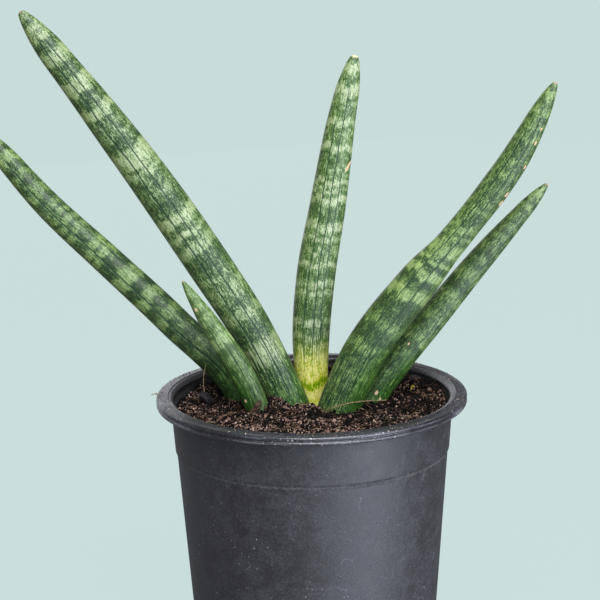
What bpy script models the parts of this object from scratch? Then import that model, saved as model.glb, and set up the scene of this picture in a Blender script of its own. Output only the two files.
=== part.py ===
"""A potted snake plant: six fleshy leaves on one buried stem, in peat, in a plastic nursery pot.

Metres, +Z up. The origin is the middle of the pot's underside, and the pot stands on z = 0.
The leaves open in a fan along X, and the plant's front is towards -Y. Heights on the plant are
measured from the soil line, which is the top of the low mound of soil in the middle of the pot.
"""
import math

import bmesh
import bpy
import numpy as np
from mathutils import Matrix

MM = 0.001

# Pot: overall sizes
POT_HEIGHT = 0.110
LIP_RADIUS = 0.060
# Pot: lip, collar and wall
LIP_HEIGHT = 0.0034
LIP_OVERHANG = 0.0053
LIP_ROUND = 0.0010
LIP_BEAD = 0.0007
MOUTH_ROUND = 0.0020
COLLAR_DEPTH = 0.0215
COLLAR_STEP = 0.0005
STEP_RISE = 0.0005
WALL = 0.0010
WALL_TAPER = 0.073          # radius lost per metre of height
# Pot: floor
FLOOR = 0.0016
FOOT_ROUND = 0.0020
DRAIN_HOLES = 6
DRAIN_RADIUS = 0.0035
DRAIN_INSET = 0.010         # from the foot's edge to a hole's centre

# Soil
SOIL_DROP = 0.0060          # from the lip's top down to the soil at the wall
SOIL_MOUND = 0.0015
MOUND_REACH = 0.025

# Clearance between pieces that touch
GAP = 0.0003

# Buried stem and its feeder roots
RHIZOME_DEPTH = 0.018       # from the soil line down to the stem's upper side
RHIZOME_RADIUS = 0.006
RHIZOME_BENDS = ((-30, 5), (-16, -1), (0, 2), (12, -0.5), (27, 2))      # x and y in mm
RHIZOME_END_CUT = 0.97      # 1 closes each end in a point, and less leaves a small flat
RHIZOME_END_FULLNESS = 6
BASE_SINK = 0.0035          # how far a leaf's base reaches below the stem's upper side
ROOTS = 8
ROOT_RADIUS = 0.0009
ROOT_TAPER = 0.6            # share of its radius that a root loses towards its tip
ROOT_SPREAD = 13            # degrees that a root turns outwards for each stem radius from the middle
ROOT_SAG = 0.38             # share of its fall that a root has made halfway out
ROOT_WALL_INSET = 0.007     # from a root's tip to the pot's inner wall
ROOT_FLOOR_INSET = 0.020    # from a root's tip to the pot's floor

# Leaves. base: x and y of the buried end in mm. route: x, y and height of the middle line in mm,
# from the soil line to the tip. widths: share of the leaf's whole length, and the width there in mm.
LEAF_ROUNDNESS = 0.82       # thickness over width
TIP_SHARE = 0.10            # the last share of the length, over which the tip closes
TIP_FULLNESS = 1.6          # how long the tip keeps its width before it closes
TIP_BLUNTNESS = 0.6         # 0.5 closes in a round end, 1 in a sharp one
RING_CROWDING = 1.35        # how much closer together the rings stand towards the tip
LEAVES = {
    "leaf_far_left": {
        "base": (-24, 4),
        "route": ((-27.5, 12, 0), (-54, 16.2, 30), (-78.7, 19.6, 53.8), (-103, 22.9, 77.2),
                  (-125.5, 26.7, 104)),
        "widths": ((0, 7.5), (0.12, 11.8), (0.35, 12.7), (0.55, 12.2), (0.75, 11), (0.9, 9.3), (1, 8.6)),
        "colour": (0.055, 0.125, 0.040),
    },
    "leaf_tall_left": {
        "base": (-7.5, 1.5),
        "route": ((-9.6, 1, 0), (-22.6, 2.7, 29), (-39.5, 4.4, 56.5), (-59.8, 6.3, 87.5),
                  (-81.7, 8.1, 118.3), (-106.9, 10.1, 152)),
        "widths": ((0, 8), (0.11, 14.4), (0.2, 15.4), (0.46, 16.8), (0.72, 14.6), (0.9, 11), (1, 10)),
        "colour": (0.080, 0.165, 0.060),
    },
    "leaf_small_left": {
        "base": (-16, -3),
        "route": ((-20.5, -8, 0), (-26, -8.7, 13.7), (-38.6, -9.8, 35.8), (-48, -10.6, 52)),
        "widths": ((0, 6.5), (0.25, 8.9), (0.45, 9.6), (0.63, 9), (0.82, 6.3), (0.9, 4.4), (1, 3.2)),
        "colour": (0.070, 0.170, 0.045),
    },
    "leaf_centre": {
        "base": (1, 4),
        "route": ((0.8, 9, 0), (0, 9, 16), (2.3, 9.6, 47), (7.9, 10.6, 78), (13.2, 11.8, 108.5),
                  (18.7, 12.8, 133)),
        "widths": ((0, 7), (0.13, 9.9), (0.18, 12), (0.24, 13.6), (0.41, 15), (0.64, 13.8), (0.82, 11.2),
                   (0.9, 9.6), (1, 8.6)),
        "colour": (0.170, 0.290, 0.110),
    },
    "leaf_tall_right": {
        "base": (9.5, -2.5),
        "route": ((10.6, -6, 0), (18.8, -6.9, 18.9), (41.3, -8.5, 50), (54.2, -9.3, 65.3), (76.7, -10.8, 95.6),
                  (91.8, -12.2, 124.5)),
        "widths": ((0, 8.5), (0.12, 14.6), (0.24, 16.4), (0.42, 15.9), (0.5, 14.6), (0.56, 12), (0.63, 11.2),
                   (0.76, 11.2), (0.86, 9.8), (0.9, 8.6), (1, 7.6)),
        "colour": (0.070, 0.150, 0.050),
    },
    "leaf_low_right": {
        "base": (20, 2),
        "route": ((23.5, 3, 0), (33.8, 4.9, 15.5), (46.4, 6.7, 30.6), (65.8, 9.4, 53.5), (92, 12.9, 82.3)),
        "widths": ((0, 6.5), (0.15, 10), (0.38, 11.6), (0.56, 10.8), (0.78, 8.7), (0.9, 6.5), (1, 5.4)),
        "colour": (0.090, 0.190, 0.050),
    },
}

# Loose pieces on the soil. Routes are x, y and height in mm: the right fibre's and the dried scale's
# from the soil line, and the left fibre's from the top of the clod that it stands in.
FIBRE_RADIUS = 0.00035
RIGHT_FIBRE_ROUTE = ((5, -14.5, 1.2), (9.6, -15.5, 3.2), (15, -15, 4.2), (21, -10, 3.4), (29, -4, 1.9))
LEFT_FIBRE_ROUTE = ((-1.7, 1, 0), (-2.3, 1.3, 5.2), (-1.3, 1.5, 10.7))
CLOD_SIZE = (0.0070, 0.0060, 0.0042)
CLOD_WALL_INSET = 0.0116    # from the pot's inner wall to the clod's middle
CLOD_BEARING = 173          # degrees about Z from +X
CHIP_SIZE = (0.0052, 0.0040, 0.0014)
CHIP_WALL_INSET = 0.0033
CHIP_BEARING = 32
SCALE_ROUTE = ((-22, -13.6, 0.2), (-20.6, -13.6, 3), (-18.8, -13.4, 6))
SCALE_WIDTHS = ((0, 4.5), (0.5, 3.2), (1, 1))
SCALE_ROUNDNESS = 0.2

# Smoothness
POT_SIDES = 64
SOIL_SIDES = 48
LEAF_SIDES = 12
LEAF_RINGS = 20
STEM_SIDES = 10
STEM_RINGS = 14
THREAD_SIDES = 6
THREAD_RINGS = 9


# ---------------------------------------------------------------- sizes that follow from the above

def collar_radius(z):
    """Outer radius of the collar's cone at height z, carried on down to the floor."""
    return LIP_RADIUS - LIP_OVERHANG - WALL_TAPER * (POT_HEIGHT - z)


def wall_radius(z):
    """Outer radius of the pot's wall below the step."""
    return collar_radius(z) - COLLAR_STEP


def inner_radius(z):
    """Radius of the pot's inside at height z."""
    return wall_radius(z) - WALL


def soil_top(x, y):
    """Height of the soil's surface: flat at the wall with a low bell-shaped mound in the middle."""
    mound = SOIL_MOUND * math.exp(-(x * x + y * y) / MOUND_REACH ** 2)
    return POT_HEIGHT - SOIL_DROP + mound


def on_soil(bearing, wall_inset):
    """A place x, y on the soil, in a direction from the middle and at a distance from the wall."""
    reach = inner_radius(POT_HEIGHT - SOIL_DROP) - wall_inset
    return reach * math.cos(math.radians(bearing)), reach * math.sin(math.radians(bearing))


SOIL_LINE = soil_top(0, 0)


# ---------------------------------------------------------------- shape helpers

def arc(centre, radius, start, end, steps=4):
    """Points (r, z) on an arc about centre, from the start to the end angle in degrees."""
    angles = np.radians(np.linspace(start, end, steps + 1))
    return [(centre[0] + radius * math.cos(a), centre[1] + radius * math.sin(a)) for a in angles]


def smooth(stations, values, at):
    """Values on a smooth curve through the given ones: cubic pieces that meet with equal slopes."""
    stations = np.asarray(stations, float)
    values = np.asarray(values, float)
    at = np.asarray(at, float)
    slopes = np.gradient(values, stations, axis=0)
    piece = np.clip(np.searchsorted(stations, at) - 1, 0, len(stations) - 2)
    span = stations[piece + 1] - stations[piece]
    t = (at - stations[piece]) / span
    if values.ndim == 2:
        t, span = t[:, None], span[:, None]
    near = values[piece] * (1 + 2 * t) * (1 - t) ** 2 + slopes[piece] * span * t * (1 - t) ** 2
    far = values[piece + 1] * t * t * (3 - 2 * t) - slopes[piece + 1] * span * t * t * (1 - t)
    return near + far


def along(route, shares):
    """Points on a smooth curve through the route, at shares of its length."""
    route = np.asarray(route, float)
    reach = np.concatenate([[0], np.cumsum(np.linalg.norm(np.diff(route, axis=0), axis=1))])
    return smooth(reach, route, np.asarray(shares) * reach[-1])


def new_object(name, vertices, faces, material):
    """A mesh object with its faces pointing out and its round sides shaded smooth."""
    mesh = bpy.data.meshes.new(name)
    mesh.from_pydata([tuple(v) for v in vertices], [], faces)
    shell = bmesh.new()
    shell.from_mesh(mesh)
    bmesh.ops.recalc_face_normals(shell, faces=shell.faces)
    shell.to_mesh(mesh)
    shell.free()
    mesh.shade_smooth()
    mesh.set_sharp_from_angle(angle=math.radians(40))
    if material:
        mesh.materials.append(material)
    piece = bpy.data.objects.new(name, mesh)
    bpy.context.scene.collection.objects.link(piece)
    return piece


def turned(name, outline, sides, material):
    """A solid turned about Z from an outline of (r, z) points whose first and last lie on the axis."""
    angles = np.linspace(0, 2 * math.pi, sides, endpoint=False)
    vertices = [(0, 0, outline[0][1])]
    for r, z in outline[1:-1]:
        vertices += [(r * math.cos(a), r * math.sin(a), z) for a in angles]
    vertices.append((0, 0, outline[-1][1]))
    last = len(vertices) - 1
    faces = []
    for side in range(sides):
        after = (side + 1) % sides
        faces.append((0, 1 + after, 1 + side))
        for ring in range(len(outline) - 3):
            low, high = 1 + ring * sides, 1 + (ring + 1) * sides
            faces.append((low + side, low + after, high + after, high + side))
        top = last - sides
        faces.append((last, top + side, top + after))
    return new_object(name, vertices, faces, material)


def tube(name, centres, half_widths, roundness, sides, material, grow=0.0):
    """A closed tube along the centres with oval sections, wide across the fan and thinner along Y.

    grow moves the whole surface out by that much, for the socket that the tube sits in.
    """
    centres = np.asarray(centres, float)
    ahead = np.gradient(centres, axis=0)
    ahead /= np.linalg.norm(ahead, axis=1)[:, None]
    wide = np.cross((0.0, 1.0, 0.0), ahead)
    wide /= np.linalg.norm(wide, axis=1)[:, None]
    thick = np.cross(ahead, wide)
    centres[0] -= ahead[0] * grow
    centres[-1] += ahead[-1] * grow
    angles = np.linspace(0, 2 * math.pi, sides, endpoint=False)
    half = np.asarray(half_widths, float)[:, None, None]
    across = wide[:, None, :] * np.cos(angles)[None, :, None] * (half + grow)
    through = thick[:, None, :] * np.sin(angles)[None, :, None] * (half * roundness + grow)
    vertices = (centres[:, None, :] + across + through).reshape(-1, 3)
    rings = len(centres)
    faces = [tuple(range(sides)), tuple((rings - 1) * sides + s for s in range(sides))]
    for ring in range(rings - 1):
        for side in range(sides):
            after = (side + 1) % sides
            low, high = ring * sides, (ring + 1) * sides
            faces.append((low + side, low + after, high + after, high + side))
    return new_object(name, vertices, faces, material)


def lump(name, place, size, turn, material):
    """A rounded lump that rests on the soil at place (x, y), turned about Z by turn degrees."""
    mesh = bpy.data.meshes.new(name)
    ball = bmesh.new()
    bmesh.ops.create_icosphere(ball, subdivisions=2, radius=0.5)
    for vertex in ball.verts:
        vertex.co.x *= size[0]
        vertex.co.y *= size[1]
        vertex.co.z *= size[2]
    ball.to_mesh(mesh)
    ball.free()
    mesh.shade_smooth()
    mesh.materials.append(material)
    piece = bpy.data.objects.new(name, mesh)
    piece.location = (*place, soil_top(*place) + GAP + size[2] / 2)
    piece.rotation_euler.z = math.radians(turn)
    bpy.context.scene.collection.objects.link(piece)
    return piece


def merged(name, pieces, material):
    """One object made of several separate closed shells."""
    vertices, faces = [], []
    for piece in pieces:
        start = len(vertices)
        vertices += [tuple(v.co) for v in piece.data.vertices]
        faces += [tuple(start + i for i in face.vertices) for face in piece.data.polygons]
        bpy.data.objects.remove(piece)
    return new_object(name, vertices, faces, material)


def hide(cutter):
    """Keep a cutter out of the model."""
    cutter.hide_render = True
    cutter.display_type = "WIRE"
    return cutter


def combine(piece, other, operation="DIFFERENCE"):
    """Take the other shape out of the piece, or join it to the piece with operation UNION."""
    step = piece.modifiers.new("with_" + other.name, "BOOLEAN")
    step.operation = operation
    step.solver = "EXACT"
    step.object = other


def material(name, colour, roughness):
    """A plain material for one kind of stuff."""
    stuff = bpy.data.materials.new(name)
    stuff.use_nodes = True
    shader = stuff.node_tree.nodes["Principled BSDF"]
    shader.inputs["Base Color"].default_value = (*colour, 1.0)
    shader.inputs["Roughness"].default_value = roughness
    shader.inputs["Metallic"].default_value = 0.0
    return stuff


# ---------------------------------------------------------------- the pieces

def make_pot():
    """The pot, turned from one outline, with a ring of drain holes in its floor."""
    step = POT_HEIGHT - COLLAR_DEPTH
    under_lip = POT_HEIGHT - LIP_HEIGHT
    foot = wall_radius(0)
    mouth = inner_radius(POT_HEIGHT)
    outline = [(0, 0)]
    outline += arc((foot - FOOT_ROUND, FOOT_ROUND), FOOT_ROUND, -90, 0)
    outline += [(wall_radius(step), step), (collar_radius(step + STEP_RISE), step + STEP_RISE)]
    outline += [(collar_radius(under_lip), under_lip)]
    outline += arc((LIP_RADIUS - LIP_BEAD, under_lip + LIP_BEAD), LIP_BEAD, -90, 60, 5)
    outline += arc((LIP_RADIUS - LIP_ROUND, POT_HEIGHT - LIP_ROUND), LIP_ROUND, -20, 90)
    outline += arc((mouth + MOUTH_ROUND, POT_HEIGHT - MOUTH_ROUND), MOUTH_ROUND, 90, 180)
    outline += [(inner_radius(FLOOR), FLOOR), (0, FLOOR)]
    plastic = material("pot_plastic", (0.040, 0.041, 0.047), 0.42)
    pot = turned("pot", outline, POT_SIDES, plastic)
    combine(pot, make_drain_cutter(foot - DRAIN_INSET))
    return pot


def make_drain_cutter(ring_radius):
    """Upright plugs that cut the drain holes, evenly spaced on a ring."""
    plugs = []
    for number in range(DRAIN_HOLES):
        angle = 2 * math.pi * (number + 0.5) / DRAIN_HOLES
        x, y = ring_radius * math.cos(angle), ring_radius * math.sin(angle)
        plug = [(0, -FLOOR), (DRAIN_RADIUS, -FLOOR), (DRAIN_RADIUS, 2 * FLOOR), (0, 2 * FLOOR)]
        shell = turned("plug", plug, 16, None)
        shell.data.transform(Matrix.Translation((x, y, 0)))
        plugs.append(shell)
    return hide(merged("drain_cutter", plugs, None))


def make_soil(sockets):
    """The soil, which fills the pot up to its mound, with a socket for each buried piece."""
    bottom = FLOOR + GAP
    edge = POT_HEIGHT - SOIL_DROP
    edge_radius = inner_radius(edge) - GAP
    outline = [(0, bottom), (inner_radius(bottom) - GAP, bottom)]
    outline += [(r, soil_top(r, 0)) for r in np.linspace(edge_radius, 0, 9)]
    peat = material("peat", (0.018, 0.012, 0.009), 0.95)
    soil = turned("potting_soil", outline, SOIL_SIDES, peat)
    for socket in sockets:
        combine(soil, socket)
    return soil


def make_leaf(name, grow=0.0):
    """One leaf from its buried base to its tip: an oval tube whose end closes in a blunt point."""
    leaf = LEAVES[name]
    base_height = -(RHIZOME_DEPTH + BASE_SINK) / MM
    route = [(*leaf["base"], base_height), *leaf["route"]]
    shares = 1 - (1 - np.linspace(0, 1, LEAF_RINGS)) ** RING_CROWDING
    centres = along(route, shares) * MM + (0, 0, SOIL_LINE)
    stations, widths = zip(*leaf["widths"])
    half = smooth(stations, widths, shares) * MM / 2
    closing = np.clip((shares - 1 + TIP_SHARE) / TIP_SHARE, 0, 0.99)
    half *= (1 - closing ** TIP_FULLNESS) ** TIP_BLUNTNESS
    skin = None if grow else material(name + "_skin", leaf["colour"], 0.5)
    label = "socket_" + name if grow else name
    return tube(label, centres, half, LEAF_ROUNDNESS, LEAF_SIDES, skin, grow)


def make_rhizome(grow=0.0):
    """The thick buried stem: a wavy round tube with rounded ends."""
    height = (SOIL_LINE - RHIZOME_DEPTH - RHIZOME_RADIUS) / MM
    route = [(x, y, height) for x, y in RHIZOME_BENDS]
    turns = np.linspace(-1, 1, STEM_RINGS)
    shares = (1 + np.sin(turns * math.pi / 2)) / 2
    half = RHIZOME_RADIUS * np.sqrt(1 - np.abs(turns * RHIZOME_END_CUT) ** RHIZOME_END_FULLNESS)
    stem = None if grow else material("rhizome_skin", (0.55, 0.33, 0.14), 0.7)
    label = "socket_rhizome" if grow else "rhizome"
    return tube(label, along(route, shares) * MM, half, 1.0, STEM_SIDES, stem, grow)


def make_roots(grow=0.0):
    """Feeder roots that start inside the stem, arch out and sink towards the pot's floor."""
    start_height = SOIL_LINE - RHIZOME_DEPTH - RHIZOME_RADIUS
    end_height = FLOOR + ROOT_FLOOR_INSET
    shares = np.linspace(0, 1, THREAD_RINGS)
    half = ROOT_RADIUS * (1 - ROOT_TAPER * shares)
    (first_x, _), (last_x, _) = RHIZOME_BENDS[0], RHIZOME_BENDS[-1]
    threads = []
    for number in range(ROOTS):
        side = 1 if number % 2 else -1
        start_x = MM * (first_x + (last_x - first_x) * (number + 1) / (ROOTS + 1))
        heading = side * math.radians(90 - ROOT_SPREAD * start_x / RHIZOME_RADIUS)
        reach = inner_radius(end_height) - ROOT_WALL_INSET
        end = (reach * math.cos(heading), reach * math.sin(heading), end_height)
        start = (start_x, side * RHIZOME_RADIUS / 2, start_height)
        bend_height = start_height + ROOT_SAG * (end_height - start_height)
        bend = ((start[0] + end[0]) / 2, (start[1] + end[1]) / 2, bend_height)
        centres = along([start, bend, end], shares)
        threads.append(tube("thread", centres, half, 1.0, THREAD_SIDES, None, grow))
    return hide(merged("socket_roots" if grow else "root_threads", threads, None))


def make_fibre(name, route, start, stuff):
    """A dry root: a thin round thread along a route in mm from its start."""
    shares = np.linspace(0, 1, THREAD_RINGS)
    centres = along(route, shares) * MM + start
    half = np.full(THREAD_RINGS, FIBRE_RADIUS)
    return tube(name, centres, half, 1.0, THREAD_SIDES, stuff)


def make_dried_scale():
    """A dry leaf scale: a thin flake that narrows upwards."""
    shares = np.linspace(0, 1, 5)
    centres = along(SCALE_ROUTE, shares) * MM + (0, 0, SOIL_LINE)
    stations, widths = zip(*SCALE_WIDTHS)
    half = smooth(stations, widths, shares) * MM / 2
    stuff = material("dried_leaf", (0.115, 0.060, 0.032), 0.85)
    return tube("dried_scale", centres, half, SCALE_ROUNDNESS, 8, stuff)


def main():
    for old in list(bpy.data.objects):
        bpy.data.objects.remove(old)
    pot = make_pot()

    rhizome_socket = hide(make_rhizome(GAP))
    rhizome = make_rhizome()
    combine(rhizome, make_roots(), "UNION")
    leaves = []
    sockets = []
    for name in LEAVES:
        leaf = make_leaf(name)
        combine(leaf, rhizome_socket)
        leaves.append(leaf)
        sockets.append(hide(make_leaf(name, GAP)))
    soil = make_soil([*sockets, rhizome_socket, make_roots(GAP)])

    bark = material("bark", (0.022, 0.019, 0.020), 0.6)
    dry_root = material("dry_root", (0.330, 0.190, 0.085), 0.8)
    clod_place = on_soil(CLOD_BEARING, CLOD_WALL_INSET)
    clod_top = (*clod_place, soil_top(*clod_place) + CLOD_SIZE[2] + 2 * GAP)
    loose = [
        lump("bark_clod_left", clod_place, CLOD_SIZE, 20, bark),
        lump("bark_chip_right", on_soil(CHIP_BEARING, CHIP_WALL_INSET), CHIP_SIZE, -15, bark),
        make_fibre("root_fibre_left", LEFT_FIBRE_ROUTE, clod_top, dry_root),
        make_fibre("root_fibre_right", RIGHT_FIBRE_ROUTE, (0, 0, SOIL_LINE), dry_root),
        make_dried_scale(),
    ]

    plant = bpy.data.objects.new("potted_snake_plant", None)
    bpy.context.scene.collection.objects.link(plant)
    for piece in [pot, soil, rhizome, *leaves, *loose]:
        piece.parent = plant


main()
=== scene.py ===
"""The looks of a potted snake plant: six mottled leaves in crumbly peat, in a dark nursery pot.

Metres, +Z up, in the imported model's frame: the pot stands on z = 0, and the front is towards -Y.
Sizes on the plant are in mm, and its heights are measured from the soil line.
"""
import math
from functools import partialmethod

import bpy
import numpy as np
from mathutils import Matrix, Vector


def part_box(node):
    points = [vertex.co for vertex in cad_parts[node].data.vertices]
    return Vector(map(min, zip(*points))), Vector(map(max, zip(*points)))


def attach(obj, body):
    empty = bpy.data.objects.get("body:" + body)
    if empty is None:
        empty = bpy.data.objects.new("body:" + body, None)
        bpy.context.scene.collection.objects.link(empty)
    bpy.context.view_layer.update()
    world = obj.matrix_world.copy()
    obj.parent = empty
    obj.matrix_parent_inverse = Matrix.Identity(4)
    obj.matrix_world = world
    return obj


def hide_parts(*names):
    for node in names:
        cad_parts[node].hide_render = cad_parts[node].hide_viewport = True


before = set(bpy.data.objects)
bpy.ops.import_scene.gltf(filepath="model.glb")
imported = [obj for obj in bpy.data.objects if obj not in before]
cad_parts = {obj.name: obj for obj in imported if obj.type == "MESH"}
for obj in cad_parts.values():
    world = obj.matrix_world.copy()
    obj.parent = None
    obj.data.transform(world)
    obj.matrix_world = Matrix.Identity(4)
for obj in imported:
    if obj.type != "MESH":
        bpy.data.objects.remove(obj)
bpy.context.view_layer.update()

MM = 0.001
TURN = 2 * math.pi
LIP_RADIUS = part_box("pot")[1][0]
POT_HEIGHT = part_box("pot")[1][2]
SOIL_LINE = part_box("potting_soil")[1][2]

# Pot
LIP_HEIGHT = 0.0034
LIP_OVERHANG = 0.0053
LIP_ROUND = 0.0009
LIP_BEAD = 0.0008
LIP_GROOVE = 0.00065        # depth of the groove round the lip's outer face
MOUTH_ROUND = 0.0020
MOUTH_BEAD = 0.00030
COLLAR_DEPTH = 0.0215
COLLAR_STEP = 0.0005
STEP_RISE = 0.0005
WALL = 0.0010
WALL_TAPER = 0.073
FLOOR = 0.0016
FOOT_ROUND = 0.0020
DRAIN_HOLES = 6
DRAIN_RADIUS = 0.0035
DRAIN_INSET = 0.010
POT_SIDES = 256

# Soil
SOIL_DROP = 0.0060
SOIL_EDGE = POT_HEIGHT - SOIL_DROP
SOIL_MOUND = 0.0015
MOUND_REACH = 0.025
POCKET_PLACE = (0.0020, 0.0045)     # a hollow at the foot of the centre leaf
POCKET_REACH = (0.0045, 0.0075)
POCKET_DEPTH = 0.0048
PILE_PLACE = (-0.0142, -0.0066)     # soil heaped against the foot of the tall left leaf
PILE_REACH = (0.0044, 0.0040)
PILE_HEIGHT = 0.0046
BANK_LEFT = 0.0010          # how far the soil climbs the pot's wall
BANK_RIGHT = 0.0030
BANK_ACROSS = (-0.02, 0.03)         # the places along x where it starts and ends to grow
BANK_REACH = (0.040, 0.051)         # how far out it starts, and where it is full
SWELL, SWELL_LENGTH = 0.00085, 0.011
SMALL_SWELL, SMALL_SWELL_LENGTH = 0.0006, 0.005
RIDGE, RIDGE_LENGTH = 0.0012, 0.0026
GRAIN, GRAIN_LENGTH = 0.0005, 0.0012
LARGEST_CRUMB = 0.0010
LARGEST_PALE = 0.00045      # crumbs larger than this are darker
FRONT_PALE = 0.6            # how much paler the crumbs are towards the front, as painted light
RIGHT_DARK = 0.2            # how much darker they are towards the right, as painted shadow of the pot's wall
CRUMB_DENT = 0.22
CRUMB_MARGIN = 0.0014       # how far the loose grains stay from the pot's wall
SOIL_GAP = 0.0003
SOIL_RINGS = 150
SOIL_SIDES = 480
FIBRE_LENGTH = (0.002, 0.008)
FIBRE_HALF = (0.00005, 0.00013)
LIP_BIT_SIZE = (0.00010, 0.00024)
CHIP_LIFT = 0.0029          # the soil's rise under the chip
CLOD_GROWTH = 1.3
THREAD_SIDES = 10
LUMP_SIDES = 48
LUMP_RINGS = 28
# Routes in mm, with heights from the soil line; the left fibre's is from the foot of its CAD piece
RIGHT_FIBRE = ((5, -14.5, 1.2), (9.6, -15.5, 3.2), (15, -15, 4.2), (21, -10, 3.4), (29, -4, 1.9))
LEFT_FIBRE = ((0.9, -0.2, 0), (0.6, 0.1, 2.6), (0.7, 0.2, 5.2), (1.0, 0.2, 8.0), (1.5, 0.3, 10.7))
LIP_BURR = ((-59.2, 0.6, 4.5), (-60.6, 0.2, 4.9), (-62.1, 0, 4.5))
YELLOW_SHRED = ((39.4, 17, -0.2), (40.1, 17.4, 1.3), (41.0, 17.2, 0.9))
DRIED_SCALE = ((-22.4, -13.6, -0.6), (-21.6, -13.9, 1.4), (-20.5, -13.9, 3.4), (-18.9, -13.5, 5.8))

# Leaves: each one's route, widths and marks. Places across a leaf run from -1, its left edge, to 1.
BASE_DEPTH = 21.5
LEAF_ROUNDNESS = 0.82
TIP_SHARE = 0.10
DEEPER = 0.24               # how much less pale a deep band is
TIP_DOME = 0.7
FURROW_PRESS = 0.5          # mm that a furrow of strength 1 is pressed in
FURROW_WIDTH = 0.24
TIP_FULLNESS = 1.6
TIP_BLUNTNESS = 0.6
LEAF_SIDES = 240
RING_SPACING = 0.55
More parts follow.
